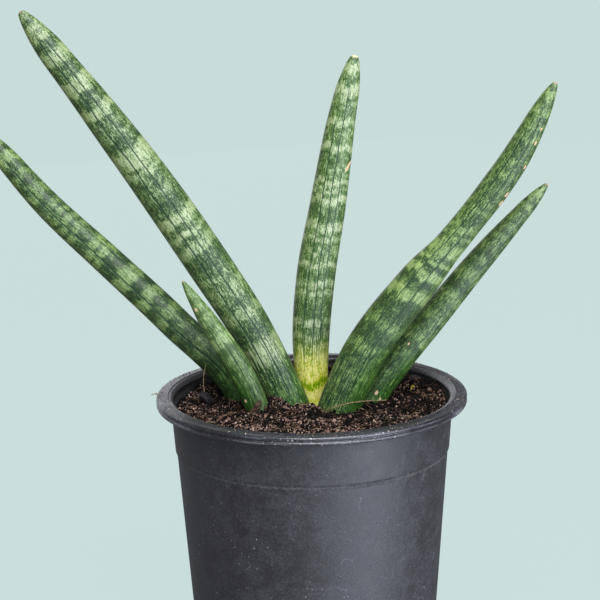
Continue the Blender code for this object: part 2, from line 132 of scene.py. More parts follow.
# ground: how pale the leaf is between its pale bands
# pale: mm from the soil to the middle of a pale band, its half-length and its strength
# deep: the same for the darkest bands, without a strength
# blunt: how far the tip's taper runs before a small dome closes it
# furrows: place across, then the mm from the soil where it starts and ends, and its strength
# foot: mm from the soil to where the foot's colour starts to fade, and to where it ends
# green: the places across where the foot's colour starts, and where it is full
# scars: mm from the soil, place across, half-length and half-width in mm, and slant
LEAVES = {
    "leaf_far_left": dict(
        slot="leaf_dark", ground=0.02, foot=(6, 30), green=(-1.6, 0.6), blunt=0.93, base=(-24, 4),
        route=((-27.5, 12, 0), (-54, 16.2, 30), (-78.7, 19.6, 53.8), (-103, 22.9, 77.2),
               (-125.5, 26.7, 104)),
        widths=((0, 7.5), (0.12, 11.8), (0.35, 12.7), (0.55, 12.2), (0.75, 11), (0.9, 9.3), (1, 8.6)),
        pale=((12, 1.8, 0.3), (26, 2.4, 0.42), (36, 1.6, 0.34), (43.3, 2, 0.68), (53.3, 2.4, 0.72),
              (64.8, 3.4, 0.72), (78, 2.0, 0.64), (82.6, 1.8, 0.68), (92, 1.6, 0.59), (97, 1.6, 0.59),
              (101.5, 1.4, 0.42), (105.5, 1.6, 0.47), (113, 2.2, 0.51), (121.5, 1.6, 0.51),
              (130.5, 2.6, 0.72), (138.5, 1.8, 0.64)),
        deep=((59, 2.2), (71.5, 2.2)),
        furrows=((-0.08, 8, 138, 0.3), (0.78, 2, 130, 0.2), (-0.82, 0, 120, 0.15)),
    ),
    "leaf_tall_left": dict(
        slot="leaf_banded", ground=0.2, foot=(0, 24), green=(-1.8, 1.4), blunt=0.955, base=(0.5, 1.5),
        route=((-8.6, 1, 0), (-22.6, 2.7, 29), (-39.5, 4.4, 56.5), (-59.8, 6.3, 87.5), (-81.7, 8.1, 118.3),
               (-106.9, 10.1, 152)),
        widths=((0, 8), (0.11, 14.4), (0.2, 15.4), (0.46, 16.8), (0.72, 14.6), (0.9, 11), (1, 10)),
        pale=((5.5, 2.2, 0.35), (22.8, 4.8, 1), (40, 2.2, 0.65), (50.5, 3.6, 0.55), (57.5, 1.4, 0.45),
              (70.7, 2.3, 0.8), (77.3, 1.2, 0.9), (84.2, 2.4, 1), (97, 1.4, 0.45), (106, 1.8, 0.75),
              (112.8, 4.2, 0.95), (126, 4.2, 0.4), (134.5, 2.2, 0.95), (147, 3.3, 1), (160, 2.7, 1),
              (172, 3.7, 0.8), (179, 1.4, 0.7)),
        deep=((33, 3), (65, 3.4), (91, 1.8), (119, 3), (140.5, 2), (153.5, 2), (166, 1.5)),
        furrows=((-0.22, 3, 176, 0.32), (0.3, 2, 172, 0.3), (0.74, 0, 80, 0.16), (-0.66, 0, 60, 0.16),
                 (0.52, 0, 46, 0.18)),
    ),
    "leaf_small_left": dict(
        slot="leaf_young", ground=0.12, foot=(5, 26), green=(0.5, -0.6), blunt=0.985, base=(-16, -3),
        route=((-20.5, -8, 0), (-26, -8.7, 13.7), (-38.6, -9.8, 35.8), (-48, -10.6, 52)),
        widths=((0, 6.5), (0.25, 8.9), (0.45, 9.6), (0.63, 9), (0.82, 6.3), (0.9, 4.4), (1, 3.2)),
        pale=((14, 3, 0.35), (22.5, 2.2, 0.5), (31.2, 2.6, 0.9), (35.4, 1, 0.65), (41.5, 2.5, 0.55),
              (47, 2.2, 0.6), (53.5, 3.4, 0.5)),
        deep=((27, 1.2),),
        furrows=((-0.36, 0, 54, 0.16), (0.2, 0, 50, 0.14), (0.62, 4, 44, 0.12)),
        scars=((47, -0.5, 0.7, 0.45, 0), (6.2, -0.6, 0.7, 0.5, 0)),
    ),
    "leaf_centre": dict(
        slot="leaf_pale_base", ground=0.22, foot=(10, 27), green=(-4, -3), blunt=0.925, base=(1, 4),
        route=((0.8, 9, 0), (0, 9, 16), (2.3, 9.6, 47), (7.9, 10.6, 78), (13.2, 11.8, 108.5),
               (18.7, 12.8, 133)),
        widths=((0, 7), (0.13, 9.9), (0.18, 12), (0.24, 13.6), (0.41, 15), (0.64, 13.8), (0.82, 11.2),
                (0.9, 9.6), (1, 8.6)),
        pale=((0.5, 4, 1), (13, 5.5, 1), (20, 2.4, 0.6), (25.6, 1.4, 0.6), (31.2, 1.6, 0.85),
              (42.4, 1, 0.75), (46, 1.5, 0.75), (53.6, 1.1, 0.75), (58.6, 1.1, 0.5), (63.9, 1.1, 0.85),
              (69.3, 2, 0.95), (79, 1.4, 0.9), (82.8, 0.8, 0.85), (86, 1.2, 0.85), (91.4, 0.8, 0.5),
              (98.8, 1.4, 0.9), (105, 1.1, 0.5), (109, 1.5, 0.95), (116, 1.1, 0.5), (121.5, 2.5, 1),
              (129.8, 2, 0.95)),
        deep=((7.6, 1.6), (36.5, 3), (49.5, 1.4), (74, 2.2), (95, 1.5), (126, 1.3)),
        furrows=((0.08, 4, 129, 0.26), (-0.42, 3, 116, 0.24), (0.46, 3, 98, 0.22), (-0.78, 10, 70, 0.12),
                 (0.8, 6, 60, 0.12)),
        scars=((92.8, 0.84, 2.2, 0.42, 0.4),),
    ),
    "leaf_tall_right": dict(
        slot="leaf_dark", ground=0.2, foot=(8, 44), green=(-0.3, 0.7), blunt=0.972, base=(3, -2.5),
        route=((10.5, -6, 0), (18.8, -6.9, 18.9), (41.3, -8.5, 50), (54.2, -9.3, 65.3), (76.7, -10.8, 95.6),
               (91.8, -12.2, 124.5)),
        widths=((0, 8.5), (0.12, 15.6), (0.24, 16.4), (0.42, 15.9), (0.5, 14.6), (0.56, 12), (0.63, 11.2),
                (0.76, 11.2), (0.86, 9.8), (0.9, 8.6), (1, 7.6)),
        pale=((3, 1.6, 0.32), (10.6, 1.4, 0.36), (16, 1.8, 0.48), (28, 2, 0.48), (38.8, 2, 0.4),
              (53.4, 2.4, 0.85), (63, 1.9, 1), (69, 0.9, 0.9), (75.4, 2.7, 0.8), (81.4, 1, 0.64),
              (85.4, 1.5, 0.6), (93.6, 1.3, 0.48), (97.2, 1, 0.4), (105, 1.2, 0.4), (111, 1, 0.36),
              (117, 1.4, 0.36), (126.5, 1.4, 0.4), (132, 1.4, 0.4), (137, 2, 0.52), (144.6, 1.8, 0.64)),
        deep=((33, 3), (45, 4.2), (59.2, 1.5), (67.2, 1.3)),
        furrows=((-0.46, 6, 136, 0.24), (0.12, 4, 142, 0.26), (0.6, 60, 146, 0.14), (-0.78, 0, 60, 0.14)),
        scars=((132, 0.65, 0.6, 0.3, 0), (126.5, 0.68, 0.8, 0.4, 0), (117, 0.83, 0.8, 0.35, 0),
               (105, 0.83, 1.1, 0.5, 0), (101.2, 0.88, 1.2, 0.5, 0)),
    ),
    "leaf_low_right": dict(
        slot="leaf_dark", ground=0.14, foot=(8, 40), green=(-0.6, 0.5), blunt=0.955, base=(20, 2),
        route=((23.5, 3, 0), (33.8, 4.9, 15.5), (46.4, 6.7, 30.6), (65.8, 9.4, 53.5), (92, 12.9, 82.3)),
        widths=((0, 6.5), (0.15, 10.6), (0.38, 11.6), (0.56, 10.8), (0.78, 8.7), (0.9, 6.5), (1, 5.4)),
        pale=((12, 1.5, 0.25), (22, 2, 0.36), (31, 2.6, 0.5), (41.6, 1.7, 0.5), (50.4, 2.6, 0.5),
              (61.6, 2.8, 0.47), (68.4, 1.2, 0.29), (75.6, 1.6, 0.4), (81, 1.3, 0.29), (85.6, 1.5, 0.32),
              (91, 1, 0.29), (95.8, 1.4, 0.54), (102, 2.4, 0.61)),
        deep=((26.5, 1.2), (56, 2), (72, 1.8), (98.6, 1.1)),
        furrows=((0.34, 6, 84, 0.2), (0.68, 4, 92, 0.12), (-0.4, 0, 60, 0.14)),
        scars=((26.5, -0.25, 0.55, 0.5, 0), (4, -0.07, 0.9, 0.6, 0), (2.4, 0.36, 0.6, 0.5, 0)),
    ),
}


def tone(red, green, blue):
    """A colour given as screen values from 0 to 255, as the light that a shader wants."""
    share = np.array((red, green, blue)) / 255
    light = np.where(share <= 0.04045, share / 12.92, ((share + 0.055) / 1.055) ** 2.4)
    return (*light.tolist(), 1.0)


# ---- numbers on grids

def corner_values(cell, seed):
    """A fixed number from 0 to 1 for each corner of a lattice: its whole-number place, hashed."""
    mixed = (cell[..., 0] * 374761393 + cell[..., 1] * 668265263 + cell[..., 2] * 2246822519
             + seed * 3266489917) & 0xFFFFFFFF
    mixed = ((mixed ^ (mixed >> 13)) * 1274126177) & 0xFFFFFFFF
    return (mixed ^ (mixed >> 16)) / 0xFFFFFFFF


def waves(place, size, seed):
    """Smooth random swells from -1 to 1: the corners of cells of this size, blended by an ease curve."""
    place = np.asarray(place, float) / size
    cell = np.floor(place).astype(np.int64)
    within = place - cell
    within = within * within * (3 - 2 * within)
    total = 0
    for corner in range(8):
        step = np.array((corner & 1, corner >> 1 & 1, corner >> 2))
        weight = np.where(step, within, 1 - within).prod(axis=-1)
        total = total + weight * corner_values(cell + step, seed)
    return 2 * total - 1


def smooth(stations, values, at):
    """Values on a smooth curve through the given ones: cubic pieces that meet with equal slopes."""
    stations = np.asarray(stations, float)
    values = np.asarray(values, float)
    at = np.asarray(at, float)
    slopes = np.gradient(values, stations, axis=0)
    piece = np.clip(np.searchsorted(stations, at) - 1, 0, len(stations) - 2)
    span = stations[piece + 1] - stations[piece]
    t = (at - stations[piece]) / span
    if values.ndim == 2:
        t, span = t[:, None], span[:, None]
    near = values[piece] * (1 + 2 * t) * (1 - t) ** 2 + slopes[piece] * span * t * (1 - t) ** 2
    far = values[piece + 1] * t * t * (3 - 2 * t) - slopes[piece + 1] * span * t * t * (1 - t)
    return near + far


def distances(route):
    """How far along the route each of its points lies."""
    return np.concatenate([[0], np.cumsum(np.linalg.norm(np.diff(route, axis=0), axis=1))])


def unit(vectors):
    """The same directions, each of length 1."""
    return vectors / np.linalg.norm(vectors, axis=-1, keepdims=True)


def bell(distance, width):
    """1 at no distance, falling off as a bell curve of the given width."""
    return np.exp(-(distance / width) ** 2)


def ease(value, low, high):
    """0 at low and before it, 1 at high and past it, and a smooth slope between them."""
    share = np.clip((value - low) / (high - low), 0, 1)
    return share * share * (3 - 2 * share)


def flat(x, y):
    """Points at x and y, at no height."""
    return np.stack([x, y, 0 * x], -1)


def steps_round(sides):
    """Evenly spaced angles round a full turn."""
    return np.linspace(0, TURN, sides, endpoint=False)


def on_circle(radius, angle, z):
    """Points at a radius and an angle about Z, at height z."""
    return np.stack([radius * np.cos(angle), radius * np.sin(angle), z + 0 * angle], -1)


# ---- meshes

def mesh_piece(name, points, quads, triangles, stuff, marks, corners=None):
    """An object from arrays of points, four-sided faces and triangles.

    marks are named values or vectors at the points. corners holds each face corner's place on the
    flat bake sheet, for the four-sided faces first and the triangles after them.
    """
    turns = np.concatenate([quads.ravel(), triangles.ravel()]).astype(np.int32)
    starts = np.concatenate([np.arange(len(quads)) * 4, len(quads) * 4 + np.arange(len(triangles)) * 3])
    mesh = bpy.data.meshes.new(name)
    mesh.vertices.add(len(points))
    mesh.vertices.foreach_set("co", np.asarray(points, np.float32).ravel())
    mesh.loops.add(len(turns))
    mesh.loops.foreach_set("vertex_index", turns)
    mesh.polygons.add(len(starts))
    mesh.polygons.foreach_set("loop_start", starts.astype(np.int32))
    if corners is not None:
        sheet = mesh.uv_layers.new(name="OFBake")
        sheet.uv.foreach_set("vector", np.asarray(corners, np.float32).ravel())
    for mark, values in marks.items():
        values = np.asarray(values, np.float32)
        kind = "FLOAT_VECTOR" if values.ndim == 2 else "FLOAT"
        layer = mesh.attributes.new(mark, kind, "POINT")
        layer.data.foreach_set("vector" if values.ndim == 2 else "value", values.ravel())
    mesh.update(calc_edges=True)
    mesh.shade_smooth()
    mesh.materials.append(stuff)
    piece = bpy.data.objects.new(name, mesh)
    bpy.context.scene.collection.objects.link(piece)
    return piece


def ring_quads(count, sides):
    """The four-sided faces between rings of points, and the ring and the side that each starts at."""
    ring, side = np.meshgrid(np.arange(count - 1), np.arange(sides), indexing="ij")
    after = (side + 1) % sides
    quads = np.stack([ring * sides + side, ring * sides + after,
                      (ring + 1) * sides + after, (ring + 1) * sides + side], -1)
    return quads.reshape(-1, 4), ring, side


def skin_over(name, rings, stuff, marks=None):
    """A closed skin over a grid of rings: quads between them, and a fan from each end to its pole.

    The last axis but one runs round each ring, against the clock as seen from the last ring. Marks
    given on the grid carry on to the poles as their end rings' means.
    """
    count, sides = rings.shape[:2]
    quads, ring, side = ring_quads(count, sides)
    around = np.arange(sides)
    next_around = (around + 1) % sides
    low_pole = count * sides
    top = (count - 1) * sides
    low_fan = np.stack([low_pole + 0 * around, next_around, around], -1)
    high_fan = np.stack([low_pole + 1 + 0 * around, top + around, top + next_around], -1)

    def with_poles(values):
        listed = values.reshape(count * sides, *values.shape[2:])
        return np.concatenate([listed, values[:1].mean(axis=1), values[-1:].mean(axis=1)])

    u0, u1 = side / sides, (side + 1) / sides
    v0, v1 = (ring + 1) / (count + 1), (ring + 2) / (count + 1)
    quad_corners = np.stack([u0, v0, u1, v0, u1, v1, u0, v1], -1).reshape(-1, 2)
    a0, a1, low_row, high_row = u0[0], u1[0], v0[0], v1[-1]
    middle = (a0 + a1) / 2
    low_corners = np.stack([middle, 0 * a0, a1, low_row, a0, low_row], -1).reshape(-1, 2)
    high_corners = np.stack([middle, 0 * a0 + 1, a0, high_row, a1, high_row], -1).reshape(-1, 2)
    spread = {mark: with_poles(values) for mark, values in (marks or {}).items()}
    return mesh_piece(name, with_poles(rings), quads, np.concatenate([low_fan, high_fan]), stuff, spread,
                      np.concatenate([quad_corners, low_corners, high_corners]))


def square_to(ahead, front):
    """Two directions at right angles to ahead and to each other: across it, and towards the front."""
    wide = unit(np.cross(ahead, front))
    return wide, np.cross(wide, ahead)


def sections(centres, half_widths, roundness, sides, front=(0.0, -1.0, 0.0)):
    """Oval rings round a path: wide across it, and roundness times as thick towards the front.

    The angle in a ring is 0 at the right edge, and a quarter turn at the middle of the front.
    """
    wide, thick = square_to(unit(np.gradient(centres, axis=0)), front)
    angle = steps_round(sides)
    half = np.asarray(half_widths, float)[:, None, None]
    across = wide[:, None, :] * np.cos(angle)[None, :, None] * half
    through = thick[:, None, :] * np.sin(angle)[None, :, None] * half * roundness
    return centres[:, None, :] + across + through, angle


def crumb_form():
    """Twelve corners and twenty faces: two poles, and two rings of five turned by half a step."""
    lean = math.atan(0.5)
    around = np.arange(5) * TURN / 5
    upper = on_circle(math.cos(lean), around, math.sin(lean))
    lower = on_circle(math.cos(lean), around + TURN / 10, -math.sin(lean))
    corners = np.concatenate([[(0, 0, 1)], upper, lower, [(0, 0, -1)]])
    here = np.arange(5)
    after = (here + 1) % 5
    faces = np.concatenate([np.stack(trio, -1) for trio in (
        (0 * here, 1 + here, 1 + after), (1 + here, 6 + here, 1 + after),
        (1 + after, 6 + here, 6 + after), (0 * here + 11, 6 + after, 6 + here))])
    return corners, faces


def any_turns(count, dice):
    """Evenly spread rotations, as matrices worked out from random unit quaternions."""
    w, x, y, z = unit(dice.normal(size=(count, 4))).T
    rows = [1 - 2 * (y * y + z * z), 2 * (x * y - z * w), 2 * (x * z + y * w),
            2 * (x * y + z * w), 1 - 2 * (x * x + z * z), 2 * (y * z - x * w),
            2 * (x * z - y * w), 2 * (y * z + x * w), 1 - 2 * (x * x + y * y)]
    return np.stack(rows, -1).reshape(-1, 3, 3)


def scatter(name, places, sizes, tones, stuff, dice):
    """Many small rough lumps, one at each place: the crumb form, dented, stretched and turned."""
    corners, faces = crumb_form()
    count = len(places)
    dented = corners[None] * (1 + CRUMB_DENT * dice.normal(size=(count, len(corners), 1)))
    turned = np.einsum("nij,nkj->nki", any_turns(count, dice), dented * sizes[:, None, :])
    points = (places[:, None, :] + turned).reshape(-1, 3)
    triangles = (faces[None] + np.arange(count)[:, None, None] * len(corners)).reshape(-1, 3)
    columns = math.ceil(math.sqrt(count))
    cell = np.stack([np.arange(count) % columns, np.arange(count) // columns], -1)
    spot = np.array(((0.2, 0.2), (0.8, 0.2), (0.5, 0.8)))
    sheet = (cell[:, None, None, :] + spot[None, None]) / columns
    sheet = np.broadcast_to(sheet, (count, len(faces), 3, 2)).reshape(-1, 2)
    marks = {"tone": np.repeat(tones, len(corners))}
    return mesh_piece(name, points, np.zeros((0, 4), int), triangles, stuff, marks, sheet)


# ---- shader maths

class Wire:
    """A socket of a material, on which Python's operators add Math nodes."""

    def __init__(self, finish, socket):
        self.finish = finish
        self.socket = socket

    def maths(self, operation, other):
        return self.finish.node("Math", {"operation": operation}, {0: self, 1: other})

    def __rsub__(self, other):
        return self.finish.node("Math", {"operation": "SUBTRACT"}, {0: other, 1: self})

    __add__ = __radd__ = partialmethod(maths, "ADD")
    __sub__ = partialmethod(maths, "SUBTRACT")
    __mul__ = __rmul__ = partialmethod(maths, "MULTIPLY")


class Finish:
    """A material under construction, round one Principled shader."""

    def __init__(self, name, roughness, **constants):
        self.stuff = bpy.data.materials.new(name)
        self.stuff.use_nodes = True
        self.tree = self.stuff.node_tree
        self.shader = self.tree.nodes["Principled BSDF"]
        self.shader.inputs["Roughness"].default_value = roughness
        for socket, value in constants.items():
            socket = socket.replace("_", " ").title().replace("Ior", "IOR")
            self.shader.inputs[socket].default_value = value

    def node(self, kind, settings=None, sockets=None, out=0):
        """Add one node: its settings first, and then its sockets' values or links."""
        node = self.tree.nodes.new("ShaderNode" + kind)
        for key, value in (settings or {}).items():
            setattr(node, key, value)
        for key, value in (sockets or {}).items():
            if isinstance(value, Wire):
                self.tree.links.new(value.socket, node.inputs[key])
            else:
                node.inputs[key].default_value = value
        return Wire(self, node.outputs[out])

    def ramp(self, level, stops):
        """The level's colour on a ramp of screen colours, each one at its place."""
        colour = self.node("ValToRGB", None, {"Fac": level})
        ramp = colour.socket.node.color_ramp
        while len(ramp.elements) < len(stops):
            ramp.elements.new(0.5)
        for element, (position, screen) in zip(ramp.elements, stops):
            element.position = position
            element.color = tone(*screen)
        return colour

    def value(self, mark):
        return self.node("Attribute", {"attribute_name": mark}, out="Fac")

    def vector(self, mark):
        return self.node("Attribute", {"attribute_name": mark}, out="Vector")

    def where(self):
        return self.node("TexCoord", out="Object")

    def stretched(self, vector, factors):
        return self.node("VectorMath", {"operation": "MULTIPLY"}, {0: vector, 1: factors})

    def grain(self, vector, scale=1.0, detail=2.0, roughness=0.5):
        sockets = {"Vector": vector, "Scale": scale, "Detail": detail, "Roughness": roughness}
        return self.node("TexNoise", None, sockets)

    def rise(self, value, low, high):
        """0 below low, 1 above high, and a smooth slope between them."""
        return self.node("MapRange", {"interpolation_type": "SMOOTHSTEP"}, {0: value, 1: low, 2: high})

    def mix(self, share, near, far):
        """The near colour where share is 0, and the far one where it is 1."""
        return self.node("Mix", {"data_type": "RGBA"}, {0: share, 6: near, 7: far}, out=2)

    def bump(self, height, distance, strength=1.0):
        return self.node("Bump", None, {"Height": height, "Distance": distance, "Strength": strength})

    def done(self, **links):
        """Link the wires to the shader's sockets and return the material."""
        for socket, wire in links.items():
            self.tree.links.new(wire.socket, self.shader.inputs[socket.replace("_", " ").title()])
        return self.stuff


# ---- finishes

CREAM = tone(236, 220, 178)
TAN = tone(168, 142, 114)
FURROW_GREEN = tone(28, 54, 38)
GREEN_LEVELS = (0.18, 0.42, 0.64, 0.9)
COOL = ((42, 65, 42), (82, 110, 70), (120, 147, 98), (152, 171, 122))
WARM = ((42, 64, 32), (84, 114, 58), (122, 149, 84), (153, 174, 108))
# the green feet: the leaf's own green, made darker and more saturated as painted shade under the pot's rim
GREEN_FOOT = ((34, 66, 24), (62, 106, 36), (98, 138, 58), (148, 172, 100))
CREAM_FOOT = ((104, 148, 14), (172, 196, 28), (228, 226, 84), (248, 242, 156))
# For each kind of leaf: the greens of its middle, its sides and its foot, its tip, speckle and bareness
LEAF_SKINS = {
    "leaf_dark": (COOL, WARM, GREEN_FOOT, TAN, 1.5, 0),
    "leaf_banded": ((*COOL[:2], (136, 155, 119), (170, 184, 152)),
                    (*WARM[:2], (125, 148, 91), (152, 168, 117)), GREEN_FOOT, TAN, 2.0, 0),
    "leaf_young": (((66, 92, 52), (92, 118, 72), (122, 148, 102), (158, 178, 132)),
                   ((62, 86, 42), WARM[1], (118, 146, 86), (152, 174, 112)), GREEN_FOOT, TAN, 1.3, 0),
    "leaf_pale_base": (((56, 84, 48), (94, 124, 76), (144, 163, 127), (180, 192, 163)),
                       ((52, 80, 36), (94, 126, 66), (136, 157, 104), (167, 180, 138)),
                       CREAM_FOOT, CREAM, 1.8, 0.65),
}


def leaf_skin(name, cool, warm, foot_greens, dry_tip, speckle, bare):
    """A waxy leaf: pale and deep green bands with ragged, streaky edges and fine flecks.

    cool, warm and foot_greens are four screen colours each, from the deepest to the palest, for the
    leaf's middle, its sides and its foot. dry_tip is the colour of its tip. speckle is how strongly
    the fine flecks show, and bare how far the dark lines fade at the foot.
    """
    skin = Finish(name, 0.4, specular_ior_level=0.42)
    place = skin.vector("place")
    streaks = skin.grain(skin.stretched(place, (1.5, 1.5, 0.34)), roughness=0.6)
    flecks = skin.grain(skin.stretched(place, (2.4, 2.4, 1.2)), roughness=0.7)
    clouds = skin.grain(skin.stretched(place, (0.3, 0.3, 0.4)))
    hairs = skin.grain(skin.stretched(place, (2.6, 2.6, 0.12)))
    band = 0.24 + skin.value("pale") * 0.5
    streaky = (streaks - 0.5) * (0.5 + 0.45 * speckle)
    level = band + streaky + (flecks - 0.5) * speckle + (clouds - 0.5) * 0.5
    ramps = [skin.ramp(level, tuple(zip(GREEN_LEVELS, greens))) for greens in (cool, warm, foot_greens)]
    foot = skin.value("foot")
    colour = skin.mix(foot, skin.mix(skin.value("warm"), ramps[0], ramps[1]), ramps[2])
    low = 1.0 - skin.rise(skin.node("SeparateXYZ", None, {0: place}, out=2), 14.0, 50.0)
    hair = skin.rise(hairs + low * 0.075, 0.6, 0.65) * (0.5 + low * 0.4 - foot * bare)
    line = skin.rise(0.42 - skin.value("furrow"), 0.12, 0.32) * (0.9 - foot * bare)
    line = line * skin.rise(streaks + (flecks - 0.5), 0.12, 0.4)
    ink = skin.mix(foot * 0.8, FURROW_GREEN, tone(*foot_greens[0]))
    dry = skin.rise(1.0 - skin.value("scar") + (flecks - 0.5) * 0.9, -0.12, 0.12)
    for layer, paint in ((hair, ink), (line, ink), (skin.value("rim") * 0.75, tone(64, 58, 40)),
                         (dry, tone(212, 184, 148)), (skin.value("tip"), dry_tip)):
        colour = skin.mix(layer, colour, paint)
    rough = 0.4 + dry * 0.4 + (streaks - 0.5) * 0.3
    fibres = skin.grain(skin.stretched(place, (5.0, 5.0, 0.25)))
    normal = skin.bump(fibres + flecks * 0.4, 0.00005, 0.6)
    return skin.done(base_color=colour, roughness=rough, normal=normal)


def pot_plastic():
    """Dark satin plastic: rubbed and dusty, with smudges, hairline scratches and specks, scuffs and a
    painted highlight on the lip's outer face, a painted highlight along the step, and painted shade
    darkening the insides.
    """
    skin = Finish("pot_plastic", 0.5, specular_ior_level=1.0, specular_tint=(0.91, 0.93, 1.0, 1.0))
    place = skin.where()
    cloud = skin.grain(place, 38.0, 4.0, 0.6)
    smudge = skin.grain(place, 150.0, 4.0, 0.65)
    fine = skin.grain(place, 1100.0, 3.0, 0.7)
    curves = skin.node("Math", {"operation": "ABSOLUTE"}, {0: skin.grain(place, 95.0, 1.0) - 0.5})
    scratch = (1.0 - skin.rise(curves, 0.0, 0.006)) * skin.rise(smudge, 0.54, 0.62)
    specks = skin.rise(skin.grain(place, 1300.0, 1.0) + skin.value("lip") * 0.06, 0.74, 0.77)
    specks = specks * skin.rise(cloud, 0.44, 0.6)
    film = skin.rise(cloud * 0.35 + smudge * 0.65 + (fine - 0.5) * 1.1, 0.32, 0.72)
    colour = skin.mix(film * 0.7, tone(25, 23, 28), tone(56, 56, 65))
    # dust on the lip, and a painted highlight along the step, in pale grey
    dust_and_highlight = skin.rise(skin.value("dust_and_step_highlight") + (fine - 0.5) * 1.2, 0.4, 0.95)
    # scuffs and a painted highlight on the lip's outer face, in pale blue-grey
    lip_scuff_and_highlight = skin.rise(skin.value("scuff_and_highlight") + (fine - 0.5) * 0.9, 0.3, 0.9)
    for layer, strength, paint in ((scratch, 0.45, (126, 130, 142)), (dust_and_highlight, 0.5, (116, 115, 120)),
                                   (lip_scuff_and_highlight, 0.6, (120, 124, 136)), (specks, 0.8, (196, 196, 198)),
                                   # the insides: painted shade, darkened towards black
                                   (skin.value("inside"), 0.8, (14, 12, 12))):
        colour = skin.mix(layer * strength, colour, tone(*paint))
    rough = (0.54 + film * 0.08 + dust_and_highlight * 0.2 + (smudge - 0.5) * 0.3
             - skin.value("lip") * 0.25 + skin.value("inside") * (1.0 - skin.value("lip")) * 0.35)
    normal = skin.bump(fine * 1.5 + smudge * 2.0, 0.00008, 0.8)
    return skin.done(base_color=colour, roughness=rough, normal=normal)


def peat():
    """Black-brown peat with a crumbly, matt surface."""
    skin = Finish("peat", 0.95, specular_ior_level=0.1)
    place = skin.where()
    coarse = skin.grain(place, 420.0, 4.0, 0.7)
    fine = skin.grain(place, 1700.0, 3.0, 0.7)
    colour = skin.mix(skin.rise(coarse + (fine - 0.5) * 0.6, 0.42, 0.72), tone(9, 7, 7), tone(40, 30, 27))
    colour = skin.mix(skin.rise(fine, 0.64, 0.7), colour, tone(120, 98, 86))
    return skin.done(base_color=colour, normal=skin.bump(coarse + fine * 0.5, 0.0006))


def loose_bits(name, stops):
    """Small loose stuff: a ramp gives each piece its own colour, and fine grain breaks it up."""
    skin = Finish(name, 0.9, specular_ior_level=0.15)
    fine = skin.grain(skin.where(), 1800.0, 2.0, 0.6)
    own = skin.ramp(skin.value("tone"), stops)
    colour = skin.mix(skin.rise(fine, 0.4, 0.7) * 0.45, own, tone(18, 13, 12))
    return skin.done(base_color=colour, normal=skin.bump(fine, 0.0002))


def bark(name, dark, light):
    """Smooth dark bark with a faint long grain."""
    skin = Finish(name, 0.5, specular_ior_level=0.4)
    grain = skin.grain(skin.stretched(skin.where(), (300.0, 900.0, 900.0)), 1.0, 4.0, 0.6)
    colour = skin.mix(skin.rise(grain, 0.35, 0.7), dark, light)
    return skin.done(base_color=colour, roughness=0.45 + grain * 0.3, normal=skin.bump(grain, 0.0002))


def dry_skin(name, dark, light, scale):
    """Dry plant stuff: brown fibres with paler streaks."""
    skin = Finish(name, 0.8, specular_ior_level=0.3)
    grain = skin.grain(skin.where(), scale, 3.0, 0.65)
    colour = skin.mix(skin.rise(grain, 0.35, 0.65), dark, light)
    return skin.done(base_color=colour, normal=skin.bump(grain, 0.0001))


# ---- pot

def collar_radius(z):
    return LIP_RADIUS - LIP_OVERHANG - WALL_TAPER * (POT_HEIGHT - z)


def wall_radius(z):
    return collar_radius(z) - COLLAR_STEP


def inner_radius(z):
    return wall_radius(z) - WALL


def arc(centre, radius, start, end, steps=8):
    """Points (r, z) on an arc about centre, from the start to the end angle in degrees."""
    angles = np.radians(np.linspace(start, end, steps + 1))
    return np.stack([centre[0] + radius * np.cos(angles), centre[1] + radius * np.sin(angles)], -1)


def run(start, end, steps):
    """Evenly spaced points (r, z) between two, without the two themselves."""
    return np.linspace(start, end, steps + 1)[1:-1]


def turned(outline, sides):
    """Rings made by turning an outline of (r, z) points about Z."""
    angle = steps_round(sides)
    return on_circle(outline[:, 0, None], angle, outline[:, 1, None]), angle


